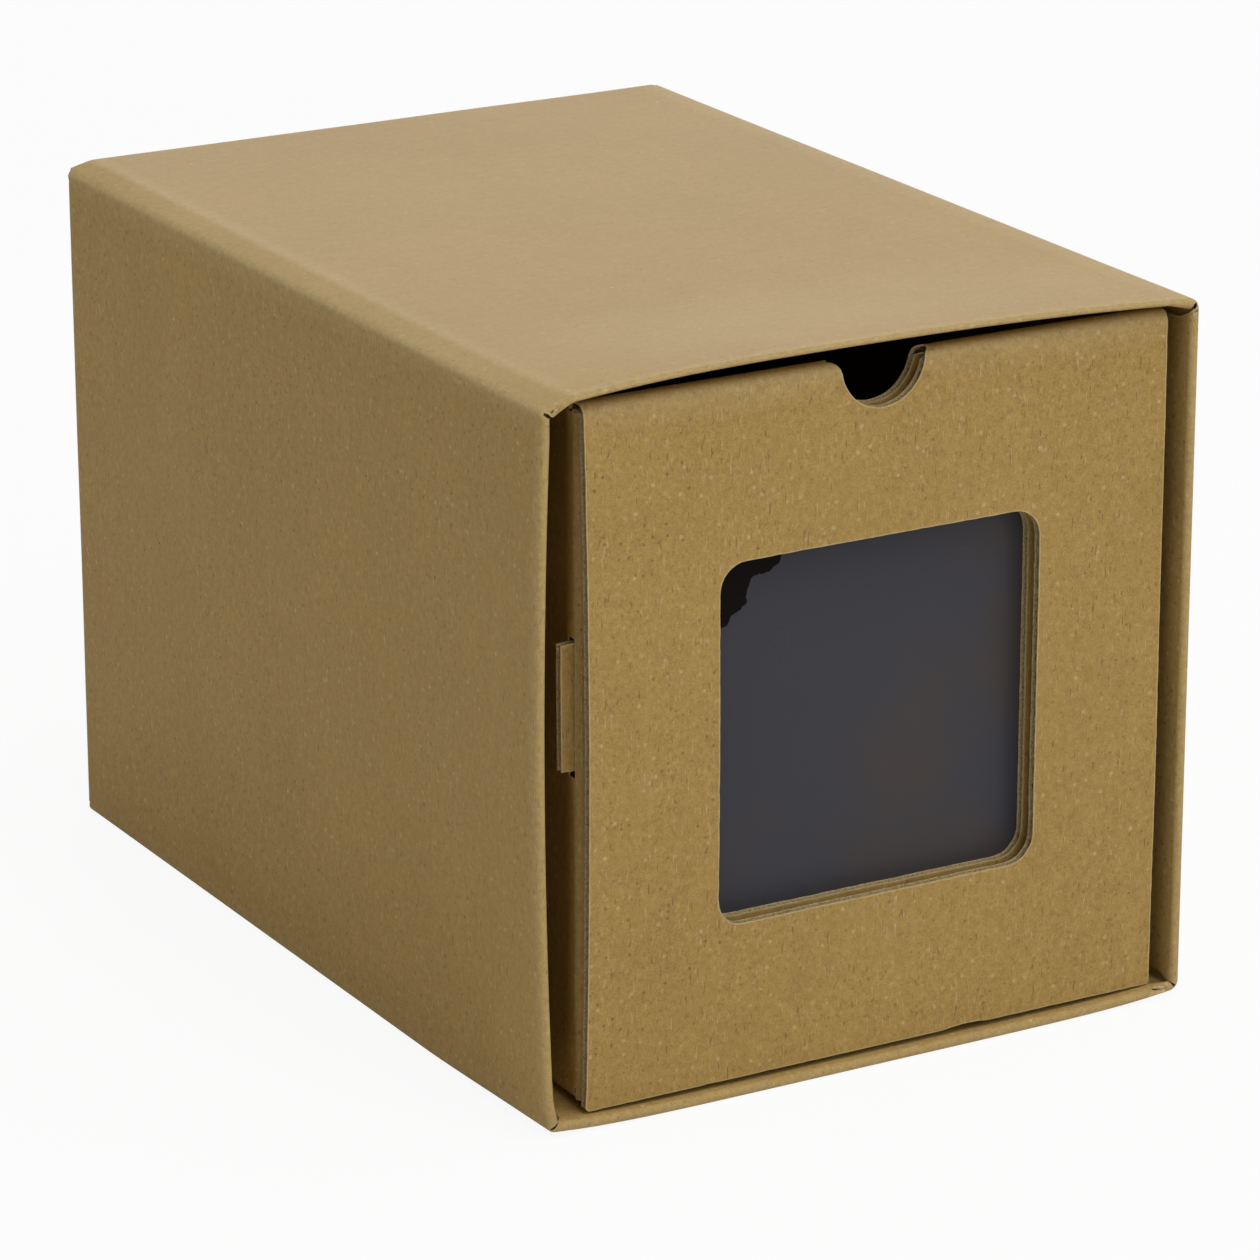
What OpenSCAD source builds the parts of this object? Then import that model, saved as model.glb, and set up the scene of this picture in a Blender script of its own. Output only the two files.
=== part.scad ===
// Storage box with a window: a corrugated board sleeve with a drawer that slides
// out at the front. The drawer's double front wall has a thumb notch and a window
// with a clear film behind it. Millimetres, +Z up, front towards -Y, and the
// origin on the floor under the middle of the sleeve.

/* [Sleeve] */
// Width across the side walls
sleeve_w = 205; // [160:1:300]
// Height from the floor to the top wall
sleeve_h = 205; // [170:1:300]
// Depth from the front rim to the back
sleeve_d = 295; // [200:1:450]
// Depth of the hem that is folded inwards round the front
hem_d = 38; // [20:1:60]
// Rise of the top wall's front edge at its middle
top_crown = 3.5; // [0.5:0.1:6]
// Bulge of the left wall's front edge
side_bow = 2.5; // [0.5:0.1:5]
// Lift of the two bottom corners at the front rim
corner_lift = 1.8; // [0.5:0.1:2.5]
// Length over which the walls spread towards the front rim
flare_d = 70; // [62:1:120]
// Width of the tilted band along the top wall's left edge
band_w = 9; // [4:0.5:16]
// Drop of the tilted band from its upper crease to its lower one
band_drop = 2.2; // [0.5:0.1:4]
// Reach of the two dust flaps behind the back flap
dust_flap_w = 70; // [30:1:75]
// Share of its thickness that the hem keeps where it is pressed flat at the rim
rim_share = 0.6; // [0.55:0.05:1]
// Length over which the pressed hem swells to its full thickness again
swell_d = 14; // [6:1:20]

/* [Board] */
// Thickness of the corrugated board
board_t = 2.5; // [1.6:0.1:4]
// Outer radius of a fold
fold_r = 3.2; // [2:0.1:5]

/* [Drawer] */
// Gap between the hem and the drawer on the left
gap_left = 8.5; // [5:0.1:12]
// Gap between the hem and the drawer on the right
gap_right = 3.7; // [3.5:0.1:8]
// Gap between the drawer's floor and the hem that it slides on
slide_gap = 0.3; // [0.2:0.1:1]
// Gap between the pressed hem's corners and the top of the drawer's front wall
top_gap = 0.1; // [0.1:0.1:2]
// Gap between the drawer's back wall and the dust flaps
back_gap = 0.7; // [0.3:0.1:5]
// Distance of the front panel behind the sleeve's rim
front_recess = 3; // [0:0.5:10]
// Distance of the side and back walls' top edge below the front wall's
wall_step = 3; // [1:0.5:20]
// Distance that the front panel reaches below the drawer's floor
panel_drop = 0.7; // [0:0.1:1.5]

/* [Front wall] */
// Width of the window
window_w = 101.5; // [60:0.5:110]
// Height of the window
window_h = 102.5; // [60:0.5:110]
// Radius of the window's corners
window_r = 8; // [2:0.5:20]
// Distance of the window's middle below the middle of the front wall
window_drop = 2.6; // [0:0.1:5]
// Radius of the thumb notch
notch_r = 13; // [8:0.5:16]
// Depth of the thumb notch below the top edge
notch_depth = 13.7; // [9:0.1:18]
// Radius of the notch's two lips
lip_r = 2.6; // [1:0.1:4]
// Distance between the window and the corner flaps that end beside it
flap_margin = 6; // [3:0.5:15]

/* [Locking ears] */
// Height of an ear
ear_h = 36; // [15:0.5:60]
// Distance that an ear stands out of the side wall
ear_out = 3; // [1:0.1:3.2]
// Height of an ear's middle above the middle of the wall
ear_up = 14.5; // [0:0.5:30]
// Play of an ear in its slot, at its top and bottom end
slot_play = 1.2; // [0.5:0.1:3]

/* [Window film] */
// Thickness of the clear film
film_t = 0.4; // [0.2:0.05:1]
// Overlap of the film round the window, where it is glued
film_margin = 12; // [5:1:20]

/* [Hidden] */
$fn = 48;

// Inner radius of a fold
inner_fold_r = max(fold_r - board_t, 0.4);
// Slack between two plies that lie on each other, and overlap of cuts and joined solids
ply_slack = 0.25;
join = 0.02;
// Sections of the sleeve: steps round a corner and along a bowed edge
corner_steps = 5;
edge_steps = 13;
// A lifted corner rises with this power of the distance from the middle
lift_power = 6;
// The rim's nose is rounded off by this share of its thickness
nose_share = 0.3;

rim_y = -sleeve_d / 2;
rear_y = sleeve_d / 2;
hem_y = rim_y + hem_d;
flare_y = rim_y + flare_d;
hem_t = 2 * board_t;
rim_t = hem_t * rim_share;
nose_cut = rim_t * nose_share;

// The back flap closes the sleeve, and the dust flaps lie just inside it
back_flap_play = 0.6;
inner_back_y = rear_y - 2 * board_t - ply_slack;

// Outer faces of the drawer
drawer_x0 = -sleeve_w / 2 + hem_t + gap_left;
drawer_x1 = sleeve_w / 2 - hem_t - gap_right;
drawer_w = drawer_x1 - drawer_x0;
drawer_z0 = hem_t + slide_gap;
// The tilted band comes lower where it reaches over the drawer's left side
band_over_front = band_drop * max(0, 1 - (gap_left + hem_t - rim_t) / band_w);
band_over_walls = band_drop * max(0, 1 - gap_left / band_w);
drawer_z1 = sleeve_h - rim_t - band_over_front - top_gap;
drawer_h = drawer_z1 - drawer_z0;
wall_z1 = min(drawer_z1 - wall_step, sleeve_h - hem_t - band_over_walls - slide_gap);
wall_h = wall_z1 - drawer_z0;
// The front panel stays clear of the rim's lifted corners
rim_lift = corner_lift * pow(max(abs(drawer_x0), abs(drawer_x1)) / (sleeve_w / 2 - fold_r), lift_power);
panel_z0 = max(drawer_z0 - panel_drop, rim_t + rim_lift + slide_gap);

// Layers of the front wall, from the outer ply to the film
outer_ply_y = rim_y + front_recess;
flap_y = outer_ply_y + board_t + ply_slack;
inner_ply_y = flap_y + board_t + ply_slack;
film_y = inner_ply_y + board_t;
front_t = film_y - outer_ply_y;
drawer_back_y = inner_back_y - back_gap;
// The hem is pressed flat over the front wall and swells behind it
press_y = film_y + 0.5;
swell_y = press_y + swell_d;

middle_x = (drawer_x0 + drawer_x1) / 2;
window_z = (drawer_z0 + drawer_z1) / 2 - window_drop;
ear_z = (drawer_z0 + drawer_z1) / 2 + ear_up;
corner_flap_w = (drawer_w - window_w) / 2 - flap_margin;

board_color = [0.62, 0.51, 0.32];
film_color = [0.45, 0.46, 0.48, 0.4];

// How far the walls have spread at a distance y, from 0 in the straight part to 1 at the rim
function spread_at(y) = (flare_y - y) / flare_d;

// Points inside the quarter circle round (x, z) whose middle lies at an angle
function corner(x, z, r, middle) =
    [for (i = [1:corner_steps - 1]) let (a = middle - 45 + 90 * i / corner_steps)
        [x + r * cos(a), z + r * sin(a)]];

// Outline of the sleeve, "inset" inside its outer faces. "spread" runs from 0 in
// the straight part to 1 at the rim, and "lift" is how far the bottom corners rise.
function outline(inset, spread, lift) =
    let (
        half = sleeve_w / 2 - inset,
        low = inset,
        high = sleeve_h - inset,
        r = max(fold_r - inset, 0.5),
        crease = -half + band_w,
        bottom = low + r + lift,
        top_left = high - band_drop
    )
    concat(
        [for (i = [0:edge_steps]) let (u = 2 * i / edge_steps - 1, x = u * (half - r))
            [x, low + lift * pow(abs(u), lift_power)]],
        corner(half - r, bottom, r, -45),
        [[half, bottom], [half, high - r]],
        corner(half - r, high - r, r, 45),
        [for (i = [0:edge_steps]) let (x = half - r - (half - r - crease) * i / edge_steps,
            u = x / half, v = (half - r) / half)
            [x, high + top_crown * spread * max(0, 1 - u * u / (v * v))]],
        [for (i = [0:edge_steps]) let (v = 1 - i / edge_steps, z = bottom + (top_left - bottom) * v)
            [-half - side_bow * spread * 4 * v * (1 - v), z]],
        corner(-half + r, bottom, r, 225)
    );

// The outline set up as a ring across the sleeve at a distance y
function ring(y, inset, spread = 0, lift = 0) =
    [for (p = outline(inset, spread, lift)) [p[0], y, p[1]]];

// Two triangles for each step round the band between a ring and the next one
function band_faces(first, n) =
    [for (i = [0:n - 1]) let (a = first + i, b = first + (i + 1) % n)
        each [[a, a + n, b + n], [a, b + n, b]]];

module rounded_rect(w, h, r) {
    translate([r, 0]) square([w - 2 * r, h]);
    translate([0, r]) square([w, h - 2 * r]);
    for (x = [r, w - r], y = [r, h - r])
        translate([x, y]) circle(r);
}

// Walls, hem and closed back as one skin: from the back along the outside to the
// rounded rim, back through the pressed hem, past its edge and along the inside
module sleeve_shell() {
    rings = [
        ring(rear_y, 0),
        ring(flare_y, 0),
        ring(rim_y + board_t, 0, 1, corner_lift),
        ring(rim_y, nose_cut, 1, corner_lift),
        ring(rim_y, rim_t - nose_cut, 1, corner_lift),
        ring(rim_y + nose_cut, rim_t, 1, corner_lift),
        ring(press_y, rim_t, spread_at(press_y), corner_lift * spread_at(press_y)),
        ring(swell_y, hem_t, spread_at(swell_y)),
        ring(hem_y, hem_t, spread_at(hem_y)),
        ring(hem_y, board_t, spread_at(hem_y)),
        ring(flare_y, board_t),
        ring(inner_back_y, board_t)
    ];
    middles = [[0, rear_y, sleeve_h / 2], [0, inner_back_y, sleeve_h / 2]];
    n = len(rings[0]);
    last = n * (len(rings) - 1);
    all_rings = n * len(rings);
    bands = [for (k = [0:len(rings) - 2]) each band_faces(k * n, n)];
    outer_cap = [for (i = [0:n - 1]) [all_rings, i, (i + 1) % n]];
    inner_cap = [for (i = [0:n - 1]) [all_rings + 1, last + (i + 1) % n, last + i]];
    polyhedron(concat([for (r = rings) each r], middles), concat(bands, outer_cap, inner_cap));
}

// Slits round the back flap, which hangs from the top wall, and the space behind
// it between the two dust flaps
module back_cuts() {
    inner_w = sleeve_w - 2 * board_t;
    slit_h = sleeve_h - hem_t - band_drop - board_t;
    pocket_w = inner_w - 2 * dust_flap_w;
    for (x = [-inner_w / 2, inner_w / 2 - back_flap_play])
        translate([x, rear_y - board_t, board_t])
            cube([back_flap_play, board_t + join, slit_h]);
    translate([-inner_w / 2, rear_y - board_t, board_t])
        cube([inner_w, board_t + join, back_flap_play]);
    translate([-pocket_w / 2, inner_back_y - join, hem_t])
        cube([pocket_w, rear_y - board_t - inner_back_y + join, sleeve_h - 2 * hem_t]);
}

module sleeve() {
    color(board_color)
        difference() {
            sleeve_shell();
            back_cuts();
        }
}

// Side walls, back wall and the corner flaps that turn in between the front plies
module drawer_walls() {
    depth = drawer_back_y - flap_y;
    difference() {
        translate([drawer_x0, flap_y, drawer_z0])
            linear_extrude(wall_h)
                difference() {
                    rounded_rect(drawer_w, depth, fold_r);
                    translate([board_t, board_t])
                        rounded_rect(drawer_w - 2 * board_t, depth - 2 * board_t, inner_fold_r);
                    translate([corner_flap_w, -board_t])
                        square([drawer_w - 2 * corner_flap_w, 3 * board_t]);
                }
        ear_slots();
    }
}

// The slots go through the side walls just behind their front folds
module ear_slots() {
    slot_h = ear_h + 2 * slot_play;
    for (x = [drawer_x0 - join, drawer_x1 - board_t - join])
        translate([x, inner_ply_y - ply_slack, ear_z - slot_h / 2])
            cube([board_t + 2 * join, board_t + 2 * ply_slack, slot_h]);
}

module drawer_floor() {
    translate([drawer_x0 + join, inner_ply_y, drawer_z0])
        cube([drawer_w - 2 * join, drawer_back_y - inner_ply_y - join, board_t]);
}

// Side view of the front wall: up from the floor, over the top and down outside
module front_profile() {
    difference() {
        union() {
            rounded_rect(front_t, drawer_h, fold_r);
            square([front_t, drawer_h / 2]);
        }
        translate([board_t, -join])
            square([front_t - 2 * board_t, drawer_h - board_t - inner_fold_r]);
        translate([board_t, drawer_h / 2])
            rounded_rect(front_t - 2 * board_t, drawer_h / 2 - board_t, inner_fold_r);
    }
    translate([0, panel_z0 - drawer_z0])
        square([board_t, drawer_h / 2]);
}

// The front plies fill the width between the side walls, and the outer ply and
// the top strip reach over the side walls' front folds
module front_wall() {
    side_w = board_t + ply_slack;
    difference() {
        translate([drawer_x0, outer_ply_y, drawer_z0])
            rotate([90, 0, 90])
                linear_extrude(drawer_w)
                    front_profile();
        for (x = [drawer_x0 - join, drawer_x1 - side_w])
            translate([x, outer_ply_y + board_t, drawer_z0 - join])
                cube([side_w + join, front_t, wall_h + ply_slack + join]);
        window_cut();
        notch_cut();
    }
    for (x = [drawer_x0 - ear_out, drawer_x1 - side_w - join])
        translate([x, inner_ply_y, ear_z - ear_h / 2])
            cube([ear_out + side_w + join, board_t, ear_h]);
}

module window_cut() {
    translate([middle_x - window_w / 2, film_y + join, window_z - window_h / 2])
        rotate([90, 0, 0])
            linear_extrude(front_t + 2 * join)
                rounded_rect(window_w, window_h, window_r);
}

module notch_cut() {
    mouth_w = 2 * (notch_r + lip_r);
    translate([middle_x, film_y + join, drawer_z1])
        rotate([90, 0, 0])
            linear_extrude(front_t + 2 * join) {
                translate([0, notch_r - notch_depth]) circle(notch_r);
                difference() {
                    translate([-mouth_w / 2, -lip_r]) square([mouth_w, lip_r + join]);
                    for (x = [-mouth_w / 2, mouth_w / 2])
                        translate([x, -lip_r]) circle(lip_r);
                }
            }
}

module drawer() {
    color(board_color) {
        drawer_walls();
        drawer_floor();
        front_wall();
    }
}

module window_film() {
    film_w = window_w + 2 * film_margin;
    film_h = window_h + 2 * film_margin;
    color(film_color)
        translate([middle_x - film_w / 2, film_y, window_z - film_h / 2])
            cube([film_w, film_t, film_h]);
}

sleeve();
drawer();
window_film();
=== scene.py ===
"""Corrugated storage box with a windowed drawer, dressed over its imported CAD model.

The sleeve and the drawer are modelled as the die-cut blanks that they are: a flat
outline with its holes is filled with points, bent over its creases and given the
thickness of the board, with two liners and the fluting between them at each raw cut.
"""

import math

import bmesh
import bpy
import numpy as np
from bpy.props import (
    FloatProperty,
    FloatVectorProperty,
    IntProperty,
    PointerProperty,
)
from mathutils import Matrix, Vector
from mathutils.geometry import delaunay_2d_cdt


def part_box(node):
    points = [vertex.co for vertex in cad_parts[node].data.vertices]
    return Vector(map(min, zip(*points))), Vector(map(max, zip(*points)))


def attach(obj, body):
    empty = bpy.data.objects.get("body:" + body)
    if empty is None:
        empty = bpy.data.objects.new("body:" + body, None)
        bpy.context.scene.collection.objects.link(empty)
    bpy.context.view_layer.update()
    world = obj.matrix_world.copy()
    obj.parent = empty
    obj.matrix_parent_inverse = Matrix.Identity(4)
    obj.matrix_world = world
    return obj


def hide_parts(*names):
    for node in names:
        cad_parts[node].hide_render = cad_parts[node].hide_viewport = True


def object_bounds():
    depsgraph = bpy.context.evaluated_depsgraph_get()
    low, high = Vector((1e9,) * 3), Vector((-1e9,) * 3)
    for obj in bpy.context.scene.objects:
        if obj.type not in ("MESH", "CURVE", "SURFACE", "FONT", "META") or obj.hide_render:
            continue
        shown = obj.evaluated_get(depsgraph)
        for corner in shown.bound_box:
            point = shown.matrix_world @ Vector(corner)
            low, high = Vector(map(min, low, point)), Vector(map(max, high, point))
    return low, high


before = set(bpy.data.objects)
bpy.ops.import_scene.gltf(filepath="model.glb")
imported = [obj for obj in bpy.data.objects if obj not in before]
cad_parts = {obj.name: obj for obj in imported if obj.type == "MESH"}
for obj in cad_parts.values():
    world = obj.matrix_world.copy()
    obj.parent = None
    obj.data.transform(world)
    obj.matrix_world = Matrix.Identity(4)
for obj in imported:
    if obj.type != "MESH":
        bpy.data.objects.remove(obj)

bl_info = {
    "name": "Storage box with window",
    "version": (1, 0, 0),
    "blender": (4, 5, 0),
    "location": "3D View > Sidebar > Storage Box",
    "description": "Sleeve, drawer and window film of a corrugated board storage box",
    "category": "Object",
}

MM = 0.001
CAD_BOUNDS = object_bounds()
SLEEVE_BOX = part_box("sleeve")
DRAWER_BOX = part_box("drawer")
FILM_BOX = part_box("window_film")
# Nothing is dressed further out than this, in millimetres
LOWEST = np.array(CAD_BOUNDS[0]) / MM + 0.005
HIGHEST = np.array(CAD_BOUNDS[1]) / MM - 0.005


def length(name, description, metres):
    return FloatProperty(name=name, description=description, default=metres, unit="LENGTH")


def share(name, description, part):
    return FloatProperty(name=name, description=description, default=part, subtype="FACTOR")


def colour(name, description, rgb):
    return FloatVectorProperty(name=name, description=description, subtype="COLOR", size=3, default=rgb)


class SleeveSizes(bpy.types.PropertyGroup):
    """Sizes of the outer sleeve."""

    width: length("Width", "Across the side walls", 0.205)
    height: length("Height", "From the floor to the top wall", 0.205)
    hem: length("Hem", "Depth of the hem folded inwards round the front", 0.038)
    crown: length("Crown", "Rise of the top wall's front edge at its middle", 0.0035)
    bow: length("Bow", "Bulge of the left wall's front edge", 0.0025)
    lift: length("Lift", "Lift of the bottom corners at the front", 0.0018)
    flare: length("Flare", "Length over which the walls spread towards the rim", 0.07)
    band: length("Band", "Width of the tilted band along the top's left edge", 0.009)
    band_drop: length("Band Drop", "Drop of the tilted band", 0.0022)
    pressed: share("Pressed", "Share of its thickness that the hem keeps at the rim", 0.6)
    top_pressed: share("Top Pressed", "The same share at the top wall's rim", 0.34)
    swell: length("Swell", "Length over which the pressed hem swells again", 0.014)
    dust_flap: length("Dust Flap", "Reach of the two flaps behind the back flap", 0.07)


class DrawerSizes(bpy.types.PropertyGroup):
    """Sizes of the drawer and its front wall."""

    wall_step: length("Wall Step", "Distance of the side walls' top below the front wall's", 0.003)
    panel_drop: length("Panel Drop", "How far the front panel reaches below the floor", 0.0007)
    front: length("Front", "Thickness of the double front wall", 0.008)
    window_w: length("Window Width", "Width of the window", 0.1015)
    window_h: length("Window Height", "Height of the window", 0.1025)
    window_r: length("Window Radius", "Radius of the window's corners", 0.008)
    notch_r: length("Notch Radius", "Radius of the thumb notch", 0.013)
    notch_depth: length("Notch Depth", "Depth of the thumb notch", 0.0137)
    lip_r: length("Lip Radius", "Radius of the notch's lips", 0.0026)
    corner_flap: length("Corner Flap", "Width of the flaps between the front plies", 0.03465)
    ear_h: length("Ear Height", "Height of a locking ear", 0.036)
    ear_out: length("Ear Reach", "How far an ear stands out of the side wall", 0.003)
    ear_up: length("Ear Rise", "Height of an ear's middle above the front wall's", 0.0145)
    inset: length("Inset", "How far the side walls bow inwards", 0.0042)
    bulge: length("Bulge", "How far the left edge of the outer ply stands forward", 0.0026)


class BoardSizes(bpy.types.PropertyGroup):
    """The corrugated board."""

    thickness: length("Thickness", "Thickness of the board", 0.0025)
    liner: length("Liner", "Thickness of a liner", 0.0004)
    fold: length("Fold Radius", "Outer radius of a fold", 0.0032)
    pitch: length("Flute Pitch", "Distance from flute to flute", 0.0054)
    recess: length("Recess", "Depth of the fluting behind a raw cut", 0.0022)
    seed: IntProperty(name="Seed", description="Seed of the ragged cuts", default=7)


class Finishes(bpy.types.PropertyGroup):
    """Colours of the board and of the film."""

    kraft: colour("Kraft", "Colour of the outer liner", (0.400, 0.256, 0.076))
    speck: colour("Speck", "Colour of the dark specks", (0.115, 0.066, 0.026))
    fleck: colour("Fleck", "Colour of pale fibres and worn folds", (0.62, 0.50, 0.27))
    cut: colour("Cut", "Colour of a liner's cut edge", (0.62, 0.50, 0.29))
    # The fluting colour below is painted shade of the cavities behind a raw cut more than the paper's own
    # colour
    fluting: colour("Fluting", "Colour of the fluting", (0.10, 0.062, 0.026))
    # The film's two tints below are painted shade of the drawer's dark inside mixed with a painted reflection
    # of the pale surroundings
    film: colour("Film", "Tint of the window film", (0.0660, 0.0645, 0.0770))
    warm_film_shade: colour("Warm Film", "Tint of the film where it looks warmer", (0.080, 0.068, 0.064))
    floor: colour("Floor", "Colour of the floor", (0.86, 0.86, 0.86))


class StorageBox(bpy.types.PropertyGroup):
    """All settings of the storage box."""

    sleeve: PointerProperty(type=SleeveSizes, name="Sleeve", description="Sizes of the sleeve")
    drawer: PointerProperty(type=DrawerSizes, name="Drawer", description="Sizes of the drawer")
    board: PointerProperty(type=BoardSizes, name="Board", description="The corrugated board")
    finishes: PointerProperty(type=Finishes, name="Finishes", description="Colours")


def waves(a, b, size, seed):
    """Soft irregular waves between -1 and 1 over two coordinates, with no grid to them."""
    rng = np.random.RandomState(seed)
    total = 0.0
    for k in range(6):
        turn, phase = rng.uniform(0, math.pi), rng.uniform(0, 2 * math.pi)
        reach = 2 * math.pi / (size * rng.uniform(0.6, 1.7))
        total = total + np.sin((a * math.cos(turn) + b * math.sin(turn)) * reach + phase)
    return total / 4.0


def ease(t):
    """Smooth step from 0 to 1."""
    t = np.clip(t, 0, 1)
    return t * t * (3 - 2 * t)


class CreasedPath:
    """A line of straight runs and rounded creases. The board lies to the right of
    it, and "inset" gives the same line deeper in the board."""

    def __init__(self, corners, radii):
        corners = np.array(corners, float)
        ends = corners[1:] - corners[:-1]
        along = ends / np.linalg.norm(ends, axis=1)[:, None]
        out = np.stack([-along[:, 1], along[:, 0]], 1)
        self.parts, self.stops = [], [0.0]
        start = corners[0]
        for k, r in enumerate(radii):
            d0, d1, n0 = along[k], along[k + 1], out[k]
            turn = math.atan2(d0[0] * d1[1] - d0[1] * d1[0], d0 @ d1)
            reach = r * math.tan(abs(turn) / 2)
            first = corners[k + 1] - d0 * reach
            side = n0 if turn > 0 else -n0
            begin = math.atan2(-side[1], -side[0])
            self._run(start, first, n0)
            self.parts.append(("bend", first + side * r, r, begin, turn))
            self.stops.append(self.stops[-1] + r * abs(turn))
            start = corners[k + 1] + d1 * reach
        self._run(start, corners[-1], out[-1])
        self.length = self.stops[-1]

    def _run(self, start, end, out):
        self.parts.append(("run", start, end, out))
        self.stops.append(self.stops[-1] + np.linalg.norm(end - start))

    def at(self, u, inset=0.0):
        """Points at the lengths u along the path, at a depth in the board."""
        u = np.asarray(u, float)
        inset = np.broadcast_to(np.asarray(inset, float), u.shape)
        index = np.clip(np.searchsorted(self.stops, u, side="right") - 1, 0, len(self.parts) - 1)
        points = np.zeros((len(u), 2))
        for k, part in enumerate(self.parts):
            here = index == k
            if not here.any():
                continue
            t = ((u[here] - self.stops[k]) / (self.stops[k + 1] - self.stops[k]))[:, None]
            deep = inset[here][:, None]
            if part[0] == "run":
                points[here] = part[1] + t * (part[2] - part[1]) - part[3] * deep
            else:
                _, middle, r, begin, turn = part
                angle = begin + t * turn
                r = np.maximum(r - deep, 0.02) if turn < 0 else r + deep
                points[here] = middle + r * np.concatenate([np.cos(angle), np.sin(angle)], 1)
        return points

    def lines(self, run_step, bend_steps):
        """Lengths at which the path is sampled: sparse on runs, dense on bends."""
        found = []
        for k, part in enumerate(self.parts):
            a, b = self.stops[k], self.stops[k + 1]
            n = bend_steps if part[0] == "bend" else max(1, int(math.ceil((b - a) / run_step)))
            found.extend(np.linspace(a, b, n + 1)[:-1])
        return np.array(found + [self.length])


def cut_line(points, lines_u, lines_s, step, joined):
    """A closed outline with a point wherever it crosses a sampling line. On a seam
    it has no others, so that both sides of the seam get the same points."""
    found, seams, count = [], [], len(points)
    points = np.array(points, float)
    on_seam = joined(points)
    for k in range(count):
        m = (k + 1) % count
        p, q = points[k], points[m]
        span = np.linalg.norm(q - p)
        seam = bool(on_seam[k] and on_seam[m])
        cuts = [] if seam else list(np.linspace(0, 1, max(2, int(math.ceil(span / step)) + 1))[1:-1])
        lined = []
        for axis, lines in ((0, lines_u), (1, lines_s)):
            if abs(q[axis] - p[axis]) > 1e-6:
                t = (np.asarray(lines) - p[axis]) / (q[axis] - p[axis])
                lined.extend(t[(t * span > 0.25) & ((1 - t) * span > 0.25)])
        kept = sorted(lined)
        for t in cuts:
            if all(abs(t - other) * span > 0.45 for other in lined):
                kept.append(t)
        last = -1.0
        for t in [0.0] + sorted(kept):
            if (t - last) * span > 0.05:
                found.append(p + t * (q - p))
                seams.append(seam or (t == 0.0 and on_seam[k]))
                last = t
    return np.array(found), np.array(seams)


def inside(points, loops):
    """Which points lie inside the outline and outside its holes."""
    odd = np.zeros(len(points), bool)
    for loop in loops:
        x, y = points[:, 0], points[:, 1]
        for k in range(len(loop)):
            (x0, y0), (x1, y1) = loop[k - 1], loop[k]
            if y0 == y1:
                continue
            crosses = (y0 > y) != (y1 > y)
            odd ^= crosses & (x < (x1 - x0) * (y - y0) / (y1 - y0) + x0)
    return odd


def arc(cx, cy, r, a0, a1, steps):
    """Points on a circle from one angle to another, in degrees."""
    angles = np.radians(np.linspace(a0, a1, steps + 1))
    return [(cx + r * math.cos(a), cy + r * math.sin(a)) for a in angles]


def thinned(values, gap):
    """Sorted values with none closer than a gap."""
    kept = []
    for value in sorted(values):
        if not kept or value - kept[-1] > gap:
            kept.append(value)
    return np.array(kept)


LINER, CUT, CORE = 0, 1, 2
BURR = 0.5  # points stand this far behind a raw cut, so that its wear ends there
FLUTES_IN = 0.9  # the fluting starts this deep behind a raw cut
WELD = 0.008  # points closer than this are one


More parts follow.
